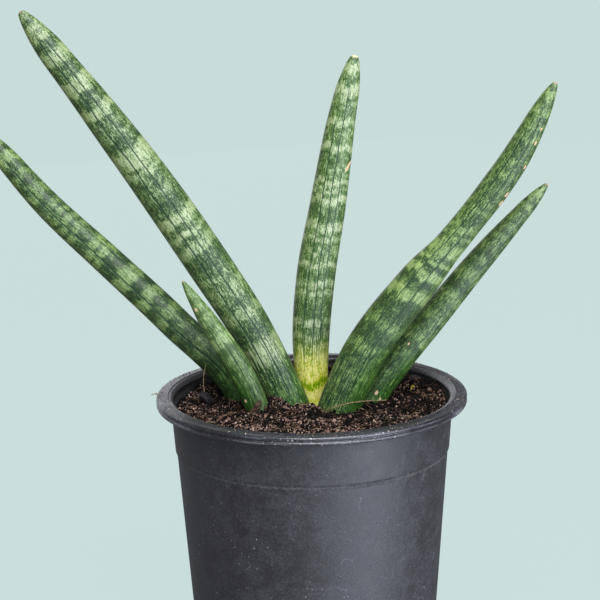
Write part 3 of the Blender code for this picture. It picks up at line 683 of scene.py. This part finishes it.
def make_pot(stuff):
    """The pot turned from one fine outline: foot, wall, step, collar, lip with its groove, and inside."""
    step = POT_HEIGHT - COLLAR_DEPTH
    under_lip = POT_HEIGHT - LIP_HEIGHT
    foot = wall_radius(0)
    mouth = inner_radius(POT_HEIGHT)
    brim = mouth + MOUTH_ROUND
    step_foot = (wall_radius(step), step)
    step_top = (collar_radius(step + STEP_RISE), step + STEP_RISE)
    lip_foot = (collar_radius(under_lip), under_lip)
    floor_edge = (inner_radius(FLOOR), FLOOR)
    outline = np.concatenate([
        run((0, 0), (foot - FOOT_ROUND, 0), 24),
        arc((foot - FOOT_ROUND, FOOT_ROUND), FOOT_ROUND, -90, 0),
        run((wall_radius(FOOT_ROUND), FOOT_ROUND), step_foot, 60),
        [step_foot, (wall_radius(step) + COLLAR_STEP * 0.35, step + STEP_RISE * 0.3), step_top],
        run(step_top, lip_foot, 18),
        [lip_foot],
        arc((LIP_RADIUS - LIP_BEAD, under_lip + LIP_BEAD), LIP_BEAD, -90, 62, 12),
        [(LIP_RADIUS - LIP_GROOVE, POT_HEIGHT - LIP_ROUND - 0.0008)],
        arc((LIP_RADIUS - LIP_ROUND, POT_HEIGHT - LIP_ROUND), LIP_ROUND, -30, 90, 12),
        [(brim + 0.0009, POT_HEIGHT), (brim + 0.0006, POT_HEIGHT + MOUTH_BEAD),
         (brim + 0.0002, POT_HEIGHT + MOUTH_BEAD)],
        arc((brim, POT_HEIGHT - MOUTH_ROUND), MOUTH_ROUND, 84, 180, 10),
        run((mouth, POT_HEIGHT - MOUTH_ROUND), floor_edge, 50),
        run(floor_edge, (0, FLOOR), 24),
    ])
    rings, angle = turned(outline, POT_SIDES)
    height = rings[..., 2]
    radius = outline[:, 0, None] + 0 * angle
    outside = radius > collar_radius(height) - COLLAR_STEP * 1.2
    on_lip = ease(height, under_lip - 0.0004, under_lip + 0.0006)
    top = ease(height, POT_HEIGHT - 0.0016, POT_HEIGHT)
    # a painted highlight along the step, and a fainter, wider pale band below it
    step_highlight = bell(height - step, 0.0006) * outside
    below_step = bell(height - step, 0.004) * outside * 0.25
    patchy = waves(rings, 0.009, 5) * 0.15
    dust_and_step_highlight = np.clip(0.1 * on_lip + 0.15 * top + 0.6 * step_highlight + below_step + patchy * on_lip, 0, 1)
    # the lip's outer face: scuffs and a painted highlight, as pale streaks round the lip
    round_lip = waves(rings * (0.22, 0.22, 0) + (radius + height)[..., None] * (0, 0, 8), 0.0024, 6)
    outer = on_lip * ease(radius, LIP_RADIUS - 0.0022, LIP_RADIUS - 0.0008)
    scuff_and_highlight = outer * np.clip(0.36 + 0.6 * round_lip, 0, 1)
    # inside: where painted shade darkens the pot's insides, inwards of the mouth's brim
    inside = (height > FLOOR / 2) * (1 - outside * (height < POT_HEIGHT - MOUTH_ROUND))
    inside = inside * ease(brim - radius, 0.0, 0.0007)
    marks = {"dust_and_step_highlight": dust_and_step_highlight, "lip": on_lip, "scuff_and_highlight": scuff_and_highlight, "inside": inside}
    pot = skin_over("pot_shell", rings, stuff, marks)
    pierce(pot, foot - DRAIN_INSET)
    return pot


def pierce(pot, ring_radius):
    """Cut the drain holes out of the pot's floor, evenly spaced on a ring."""
    for number in range(DRAIN_HOLES):
        angle = TURN * (number + 0.5) / DRAIN_HOLES
        outline = np.array(((DRAIN_RADIUS, -FLOOR), (DRAIN_RADIUS, 2 * FLOOR)))
        plug_rings, _ = turned(outline, 40)
        plug_rings = plug_rings + (ring_radius * math.cos(angle), ring_radius * math.sin(angle), 0)
        plug = skin_over("plug", plug_rings, pot.data.materials[0])
        cut = pot.modifiers.new("hole", "BOOLEAN")
        cut.operation = "DIFFERENCE"
        cut.solver = "EXACT"
        cut.object = plug
        bpy.context.view_layer.update()
        cut_mesh = bpy.data.meshes.new_from_object(pot.evaluated_get(bpy.context.evaluated_depsgraph_get()))
        pot.modifiers.clear()
        pot.data = cut_mesh
        bpy.data.objects.remove(plug)


# ---- soil and what lies on it

def heap(x, y, place, reach):
    """1 at the place, falling off as a bell curve, with its own reach along x and y."""
    return bell(np.hypot((x - place[0]) / reach[0], (y - place[1]) / reach[1]), 1)


def soil_surface(x, y):
    """Height of the soil: a low mound with a hollow, a pile and a bank at the pot's wall, and swells,
    ridged crumbs and fine grains on it.
    """
    x, y = np.asarray(x, float), np.asarray(y, float)
    place = flat(x, y)
    mound = SOIL_MOUND * np.exp(-(x * x + y * y) / MOUND_REACH ** 2)
    pocket = POCKET_DEPTH * heap(x, y, POCKET_PLACE, POCKET_REACH)
    pile = PILE_HEIGHT * heap(x, y, PILE_PLACE, PILE_REACH)
    swell = SWELL * waves(place, SWELL_LENGTH, 1) + SMALL_SWELL * waves(place, SMALL_SWELL_LENGTH, 2)
    ridges = RIDGE * (0.45 - np.abs(waves(place, RIDGE_LENGTH, 3)))
    grains = GRAIN * waves(place, GRAIN_LENGTH, 4)
    bank = BANK_LEFT + (BANK_RIGHT - BANK_LEFT) * ease(x, *BANK_ACROSS)
    bank = bank * ease(np.hypot(x, y), *BANK_REACH)
    return SOIL_EDGE + mound - pocket + pile + bank + swell + ridges + grains


def make_soil(stuff):
    """The soil bed: flat underneath, straight at the wall, and crumbly on top."""
    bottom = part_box("potting_soil")[0][2]
    wall = np.array([(inner_radius(z) - SOIL_GAP, z) for z in np.linspace(bottom, SOIL_EDGE - 0.003, 8)])
    under = np.stack([wall[0, 0] * np.linspace(0.05, 0.95, 6), np.full(6, bottom)], -1)
    sides, angle = turned(np.concatenate([under, wall]), SOIL_SIDES)
    reach = (inner_radius(SOIL_EDGE) - SOIL_GAP) * (1 - np.linspace(0, 0.995, SOIL_RINGS) ** 1.1)[:, None]
    top = on_circle(reach, angle, 0 * reach)
    top[..., 2] = soil_surface(top[..., 0], top[..., 1])
    return skin_over("soil_bed", np.concatenate([sides, top]), stuff)


def spots(count, dice, reach):
    """Places on the soil, evenly spread over a disc."""
    radius = reach * np.sqrt(dice.random(count))
    angle = TURN * dice.random(count)
    return radius * np.cos(angle), radius * np.sin(angle)


def make_crumbs(name, count, smallest, spread, lift, stuff, seed, thin=0):
    """Loose grains on the soil, many small ones and a few large ones, with patches where they are
    smaller by the share thin. They lie with their middles at lift sizes above the soil.
    """
    dice = np.random.default_rng(seed)
    x, y = spots(count, dice, inner_radius(SOIL_EDGE) - CRUMB_MARGIN)
    size = smallest * np.exp(np.abs(dice.normal(size=count)) * spread)
    size = np.minimum(size, LARGEST_CRUMB)
    size = size * (1 - thin * (waves(flat(x, y), 0.005, 8) < -0.1))
    places = np.stack([x, y, soil_surface(x, y) + size * lift], -1)
    sizes = size[:, None] * dice.uniform(0.6, 1.15, size=(count, 3))
    tones = dice.random(count) * np.clip(LARGEST_PALE / size, 0.3, 1)
    # painted light on the crumbs towards the front, and painted shadow of the pot's wall towards the right
    shade = 0.92 + FRONT_PALE * ease(-y, 0.012, 0.032) - RIGHT_DARK * ease(x, 0.008, 0.03)
    patch = 1 + 0.45 * waves(places, 0.0055, 8)
    tones = np.minimum(1, tones * shade * patch)
    return scatter(name, places, sizes, tones, stuff, dice)


def make_lip_bits(name, count, stuff, seed):
    """Specks of soil and grit that lie on the pot's lip."""
    dice = np.random.default_rng(seed)
    angle = TURN * dice.random(count)
    radius = dice.uniform(inner_radius(POT_HEIGHT) + MOUTH_ROUND, LIP_RADIUS - LIP_ROUND / 2, count)
    size = dice.uniform(*LIP_BIT_SIZE, count)
    places = on_circle(radius, angle, POT_HEIGHT + size * 0.4)
    return scatter(name, places, size[:, None] * (1, 1, 0.7), dice.random(count), stuff, dice)


def make_fibres(name, count, stuff, seed, rings=9, sides=5):
    """Fine plant fibres that lie on the soil: threads that taper towards both ends, each one bent
    once up and once sideways, and thinner towards the right.
    """
    dice = np.random.default_rng(seed)
    x, y = spots(count, dice, inner_radius(SOIL_EDGE) - 0.004)
    length = dice.uniform(*FIBRE_LENGTH, count)
    heading = TURN * dice.random(count)
    share = np.linspace(-0.5, 0.5, rings)[None, :]
    bend = dice.normal(size=(count, 1)) * 0.5
    along = length[:, None] * share
    aside = length[:, None] * bend * (share ** 2 - 0.08)
    px = x[:, None] + along * np.cos(heading)[:, None] - aside * np.sin(heading)[:, None]
    py = y[:, None] + along * np.sin(heading)[:, None] + aside * np.cos(heading)[:, None]
    inside = np.minimum(1, (inner_radius(POT_HEIGHT) - 0.0012) / np.hypot(px, py))
    px, py = px * inside, py * inside
    lift = dice.uniform(0.0004, 0.0013, (count, 1))
    wander = 0.0004 * waves(flat(px, py), 0.0018, 9)
    arch = dice.uniform(0, 0.12, (count, 1)) * length[:, None] * (1 - 4 * share ** 2)
    ground = (soil_surface(px, py) + soil_surface(x, y)[:, None]) / 2
    centres = np.stack([px, py, ground + lift + wander + arch], -1)
    wide, thick = square_to(unit(np.gradient(centres, axis=1)), (0.0, 0.0, 1.0))
    angle = steps_round(sides)
    half = dice.uniform(*FIBRE_HALF, (count, 1, 1, 1)) * (1 - 0.6 * (2 * share[..., None, None]) ** 4)
    half = half * (1 - 0.5 * ease(x, 0.0, 0.02))[:, None, None, None]
    ring = wide[:, :, None] * np.cos(angle)[:, None] + thick[:, :, None] * np.sin(angle)[:, None]
    points = (centres[:, :, None] + ring * half).reshape(-1, 3)
    quad, _, _ = ring_quads(rings, sides)
    start = (np.arange(count) * rings * sides)[:, None, None]
    quads = (quad[None] + start).reshape(-1, 4)
    fan = np.array([(0, i + 1, i) for i in range(1, sides - 1)])
    last = (rings - 1) * sides
    ends = np.concatenate([fan, last + fan[:, ::-1]])
    triangles = (ends[None] + start).reshape(-1, 3)
    marks = {"tone": np.repeat(dice.random(count), rings * sides)}
    return mesh_piece(name, points, quads[:, ::-1], triangles[:, ::-1], stuff, marks)


def make_lump(name, node, stuff, seed, dent, lean, grow=1.0, lift=0.0):
    """A lump in the place of a CAD one: a stretched ball, dented, whose right side leans down."""
    low, high = (np.array(corner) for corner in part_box(node))
    rise = np.linspace(-math.pi / 2, math.pi / 2, LUMP_RINGS + 2)[1:-1, None]
    ball = on_circle(np.cos(rise), steps_round(LUMP_SIDES), np.sin(rise))
    swell = 1 - dent + dent * (waves(ball, 0.9, seed) + 0.5 * waves(ball, 0.4, seed + 1))
    form = ball * swell[..., None] * (high - low) / 2 * grow
    form[..., 2] += lift - lean * form[..., 0]
    return skin_over(name, (low + high) / 2 + form, stuff)


def make_thread(name, route, stuff, radius, kink, seed):
    """A dry root: a thin tube with small kinks and knots along a smooth route."""
    route = np.array(route) * MM + (0, 0, SOIL_LINE)
    reach = distances(route)
    at = np.linspace(0, reach[-1], 90)
    centres = smooth(reach, route, at)
    wobble = np.stack([waves(np.stack([at, 0 * at, 0 * at + axis], -1), 0.0022, seed)
                       for axis in range(3)], -1)
    fade = np.minimum(1, 8 * np.minimum(at, reach[-1] - at) / reach[-1])[:, None]
    centres = centres + wobble * kink * fade
    knots = 1 + 0.3 * waves(np.stack([at, at, at], -1), 0.0012, seed + 5)
    ends = np.sqrt(np.clip(np.minimum(at, reach[-1] - at) / (2 * radius), 0.15, 1))
    rings, _ = sections(centres, radius * knots * ends, 1.0, THREAD_SIDES, (0.3, -0.9, 0.3))
    return skin_over(name, rings, stuff)


def make_scale(stuff):
    """The dry scale at the small leaf's foot: a thin, curled flake that frays towards its tip."""
    route = np.array(DRIED_SCALE)
    reach = distances(route)
    at = np.linspace(0, reach[-1], 60)
    centres = smooth(reach, route, at) * MM + (0, 0, SOIL_LINE)
    half = smooth((0, 0.4, 0.8, 1), (1.6, 1.4, 0.8, 0.2), at / reach[-1]) * MM
    rings, angle = sections(centres, half, 0.16, 40)
    curl = 0.0007 * np.cos(angle)[None, :] ** 2 * (1 - 0.5 * at / reach[-1])[:, None]
    ragged = 0.00075 * waves(rings, 0.0009, 31)
    rings[..., 1] += curl
    rings += ragged[..., None] * (1, 0.5, 1)
    return skin_over("dry_scale_flake", rings, stuff)


# ---- leaves

def make_leaf(name, stuff, seed):
    """One leaf: oval rings along its route, with furrows pressed into both faces.

    Each point keeps its place on the leaf laid straight, in mm, how pale and how warm its green is,
    how near it is to a furrow and to a scar, and how far it belongs to the tip, the rim and the foot.
    """
    leaf = LEAVES[name]
    route = np.array([(*leaf["base"], -BASE_DEPTH), *leaf["route"]], float)
    reach = distances(route)
    length = reach[-1]
    buried = reach[1]
    count = round(length / RING_SPACING)
    shares = 1 - (1 - np.linspace(0, 1, count)) ** 1.2
    centres = smooth(reach, route, shares * length) * MM + (0, 0, SOIL_LINE)
    stations, widths = zip(*leaf["widths"])
    half = smooth(stations, widths, shares) / 2
    closing = np.clip((shares - 1 + TIP_SHARE) / TIP_SHARE, 0, 1) * leaf["blunt"]
    dome = np.clip(1 - (1 - shares) * length / TIP_DOME, 0, 1)
    half = half * (1 - closing ** TIP_FULLNESS) ** TIP_BLUNTNESS * np.sqrt(1 - 0.96 * dome * dome)

    up = (shares * length - buried)[:, None]
    angle = steps_round(LEAF_SIDES)[None, :]
    across = np.cos(angle) + 0 * up
    back = np.sin(angle) < 0
    straight = np.stack([np.cos(angle) * half[:, None], np.sin(angle) * half[:, None] * LEAF_ROUNDNESS,
                         up + 0 * angle], -1)

    pressed = 0 * across
    furrow = 9 + 0 * across
    for place, start, end, strength in leaf["furrows"]:
        middle = np.where(back, TURN - math.acos(-place), math.acos(place))
        wander = 0.35 * waves(np.stack([up / 14, 0 * up + place * 9, 0 * up], -1), 1.0, seed)
        off = (angle - middle) * half[:, None] * 0.93 - wander
        window = ease(up, start - 3, start + 3) * (1 - ease(up, end - 10, end))
        pressed = pressed + FURROW_PRESS * strength * window * bell(off, FURROW_WIDTH)
        furrow = np.minimum(furrow, np.abs(off) + 0.6 * (1 - window) + 0.25 - strength)
    ripple = 0.05 * waves(straight, (2.2, 2.2, 9.0), seed + 1)

    strip = 0 * across
    for place, *_ in leaf["furrows"]:
        strip = strip + (across > place) * (1.7 if place < 0 else -2.3)
    shift = 0.9 * np.sin(strip * 2.1 + seed) + 1.0 * waves(straight, (5, 5, 9), seed + 2)
    shift = shift + np.where(back, 1.5 * waves(straight, (6, 6, 14), seed + 3), 0)

    def band(middle, reach_along):
        edge = 0.35 + 0.2 * reach_along
        return 1 - ease(np.abs(up + shift - middle), reach_along - edge, reach_along + edge)

    pale = leaf["ground"] + 0 * across
    for middle, reach_along, strength in leaf["pale"]:
        pale = np.maximum(pale, strength * band(middle, reach_along))
    for middle, reach_along in leaf["deep"]:
        pale = pale - DEEPER * band(middle, reach_along)
    warm = 0.2 + 0.8 * ease(np.abs(across - 0.2), 0.3, 0.95)

    scar = 9 + 0 * across
    for middle, place, along_half, across_half, slant in leaf.get("scars", ()):
        off_along = (up - middle) / along_half
        off_across = ((across - place) * half[:, None] - slant * (up - middle)) / across_half
        scar = np.minimum(scar, np.hypot(off_along, off_across) + 9 * back)

    tip = ease(up, length - buried - 0.8, length - buried - 0.4) + 0 * across
    rim = (bell(angle - math.radians(186), 0.13) + 0.5 * bell(angle - TURN, 0.1)) * ease(up, 8, 30)
    # the foot's colour: on the green feet it is partly painted shade under the pot's rim
    start, end = leaf["foot"]
    foot = (1 - ease(up + shift, start, end)) * ease(across, *leaf["green"])

    rings, _ = sections(centres, half * MM, LEAF_ROUNDNESS, LEAF_SIDES)
    outwards = unit(rings - centres[:, None, :])
    rings = rings + outwards * ((ripple - pressed) * np.minimum(1, half / 3)[:, None] * MM)[..., None]
    marks = dict(place=straight, pale=pale, warm=warm, furrow=furrow, scar=scar, tip=tip, rim=rim,
                 foot=foot)
    return skin_over(name + "_skin", rings, stuff, marks)


# ---- studio

BACKDROP = tone(202, 222, 220)
FLOOR_MATT = 0.04           # how much of the floor's colour comes from the lamps on it
FLOOR_GLOW = 0.967
FLOOR_REACH = 8.0
WINDOW_TINT = (0.88, 0.93, 1.0)
BACK_TINT = (0.94, 0.97, 1.0)
CAMERA_PLACE = (0, -0.7455, 0.3218)
CAMERA_DOWN, CAMERA_LEFT, CAMERA_ROLL = 13.22, 0.29, -1.08      # degrees
AMBIENT = (0.96, 0.98, 1.0, 1.0)
AMBIENT_STRENGTH = 0.25


def make_floor():
    """A wide pale floor that glows, so that it stays even round the pot."""
    corners = FLOOR_REACH * np.array([(-1, -1, 0), (1, -1, 0), (1, 1, 0), (-1, 1, 0)])
    paper = (*(FLOOR_MATT * channel for channel in BACKDROP[:3]), 1.0)
    finish = Finish("floor_paper", 0.9, specular_ior_level=0.0, base_color=paper,
                    emission_color=BACKDROP, emission_strength=FLOOR_GLOW)
    floor = mesh_piece("floor", corners, np.array([(0, 1, 2, 3)]), np.zeros((0, 3), int),
                       finish.done(), {})
    floor.visible_diffuse = False
    floor.visible_glossy = False
    floor.visible_shadow = False


def make_world():
    """A pale backdrop the colour of the floor, which lights the plant as even, neutral light."""
    world = bpy.data.worlds.new("studio")
    world.use_nodes = True
    tree = world.node_tree
    seen = tree.nodes["Background"]
    seen.inputs["Color"].default_value = BACKDROP
    lighting, rays, both = (tree.nodes.new("ShaderNode" + kind)
                            for kind in ("Background", "LightPath", "MixShader"))
    lighting.inputs["Color"].default_value = AMBIENT
    lighting.inputs["Strength"].default_value = AMBIENT_STRENGTH
    sources = (rays.outputs["Is Camera Ray"], lighting.outputs[0], seen.outputs[0])
    for source, target in zip(sources, both.inputs):
        tree.links.new(source, target)
    tree.links.new(both.outputs[0], tree.nodes["World Output"].inputs["Surface"])
    bpy.context.scene.world = world


def softbox(name, place, target, width, height, power, colour=(1, 1, 1)):
    """A soft rectangular light at a place, turned towards its target."""
    light = bpy.data.lights.new(name, "AREA")
    light.shape = "RECTANGLE"
    light.size = width
    light.size_y = height
    light.energy = power
    light.color = colour
    lamp = bpy.data.objects.new(name, light)
    ahead = unit(np.array(target, float) - place)
    wide, up = square_to(ahead, (0, 0, 1))
    lamp.matrix_world = Matrix([(wide[i], up[i], -ahead[i], place[i]) for i in range(3)] + [(0, 0, 0, 1)])
    lamp.visible_camera = False
    bpy.context.scene.collection.objects.link(lamp)


def make_camera():
    """A long lens in front of the pot, a little above the leaves, tipped down at the plant."""
    lens = bpy.data.cameras.new("camera")
    lens.lens = 120
    lens.sensor_width = 36
    lens.clip_end = 60
    camera = bpy.data.objects.new("camera", lens)
    camera.matrix_world = Matrix.Translation(CAMERA_PLACE)
    for degrees, axis in ((CAMERA_LEFT, "Z"), (90 - CAMERA_DOWN, "X"), (CAMERA_ROLL, "Z")):
        camera.matrix_world = camera.matrix_world @ Matrix.Rotation(math.radians(degrees), 4, axis)
    bpy.context.scene.collection.objects.link(camera)
    bpy.context.scene.camera = camera


# ---- the whole plant

def settle(piece, slot, *nodes):
    """Ride the piece on the plant's one body, in place of the CAD nodes it stands for. The slot is not
    used.
    """
    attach(piece, "root")
    if nodes:
        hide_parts(*nodes)


def build():
    make_camera()
    make_world()
    make_floor()
    softbox("key", (0.76, -0.66, 0.02), (0, 0, 0.06), 0.52, 1.3, 10.2, WINDOW_TINT)
    softbox("fill", (0.33, -0.94, 0.0), (0, 0, 0.06), 0.5, 1.1, 2.5, WINDOW_TINT)
    softbox("top", (0.10, -0.72, 0.98), (0, 0, 0.12), 0.8, 0.8, 15.5)
    softbox("back", (-0.45, 1.10, 0.30), (0, 0, 0.10), 1.2, 1.0, 3.2, BACK_TINT)
    bpy.context.scene.view_settings.view_transform = "Standard"

    settle(make_pot(pot_plastic()), "pot_plastic", "pot")
    peat_stuff = peat()
    settle(make_soil(peat_stuff), "peat", "potting_soil")

    skins = {slot: leaf_skin(slot, *looks) for slot, looks in LEAF_SKINS.items()}
    for number, name in enumerate(LEAVES):
        slot = LEAVES[name]["slot"]
        settle(make_leaf(name, skins[slot], 11 + 7 * number), slot, name)

    crumb = loose_bits("peat_crumbs", ((0.0, (6, 5, 5)), (0.5, (19, 15, 14)), (0.7, (80, 64, 58)),
                                       (1.0, (166, 136, 124))))
    grit = loose_bits("pale_grit", ((0.0, (88, 66, 58)), (0.55, (158, 126, 112)), (1.0, (228, 206, 192))))
    straw = loose_bits("peat_fibres", ((0.0, (36, 26, 21)), (0.6, (92, 70, 56)), (1.0, (180, 150, 120))))
    for piece in (make_crumbs("peat_crumbs_1", 9000, 0.00026, 0.5, 0.35, crumb, 40),
                  make_crumbs("peat_crumbs_2", 9000, 0.00026, 0.5, 0.35, crumb, 41),
                  make_crumbs("pale_grit", 4600, 0.00023, 0.52, 0.6, grit, 50, 0.5),
                  make_fibres("peat_fibres", 560, straw, 60), make_lip_bits("lip_bits", 200, grit, 90),
                  make_lip_bits("dark_lip_bits", 60, crumb, 91)):
        settle(piece, "peat")

    bark_stuff = bark("bark", tone(22, 20, 24), tone(46, 42, 48))
    settle(make_lump("clod_lump", "bark_clod_left", bark_stuff, 70, 0.32, 0.9, CLOD_GROWTH),
           "bark", "bark_clod_left")
    settle(make_lump("chip_lump", "bark_chip_right", bark_stuff, 75, 0.2, 0.1, lift=CHIP_LIFT),
           "bark", "bark_chip_right")

    root_stuff = dry_skin("dry_root", tone(104, 82, 58), tone(172, 148, 112), 1400.0)
    yellow_stuff = dry_skin("yellow_shred", tone(132, 118, 30), tone(196, 180, 66), 900.0)
    low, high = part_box("root_fibre_left")
    foot = np.array(((low[0] + high[0]) / 2, (low[1] + high[1]) / 2, low[2] - SOIL_LINE)) / MM
    for name, route, stuff, radius, kink, seed, slot, *nodes in (
            ("right_fibre_thread", RIGHT_FIBRE, root_stuff, 0.00016, 0.00012, 80, "dry_root",
             "root_fibre_right"),
            ("left_fibre_thread", foot + LEFT_FIBRE, root_stuff, 0.00017, 0.0001, 85, "dry_root",
             "root_fibre_left"),
            ("lip_burr", LIP_BURR, root_stuff, 0.00022, 0.0001, 93, "dry_root"),
            ("yellow_shred", YELLOW_SHRED, yellow_stuff, 0.00034, 0.0002, 95, "dried_leaf")):
        settle(make_thread(name, route, stuff, radius, kink, seed), slot, *nodes)
    settle(make_scale(dry_skin("dried_leaf", tone(28, 21, 17), tone(90, 70, 54), 900.0)),
           "dried_leaf", "dried_scale")
    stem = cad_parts["rhizome"]
    stem.data.materials.clear()
    stem.data.materials.append(dry_skin("rhizome_skin", tone(150, 96, 44), tone(206, 150, 84), 260.0))


build()
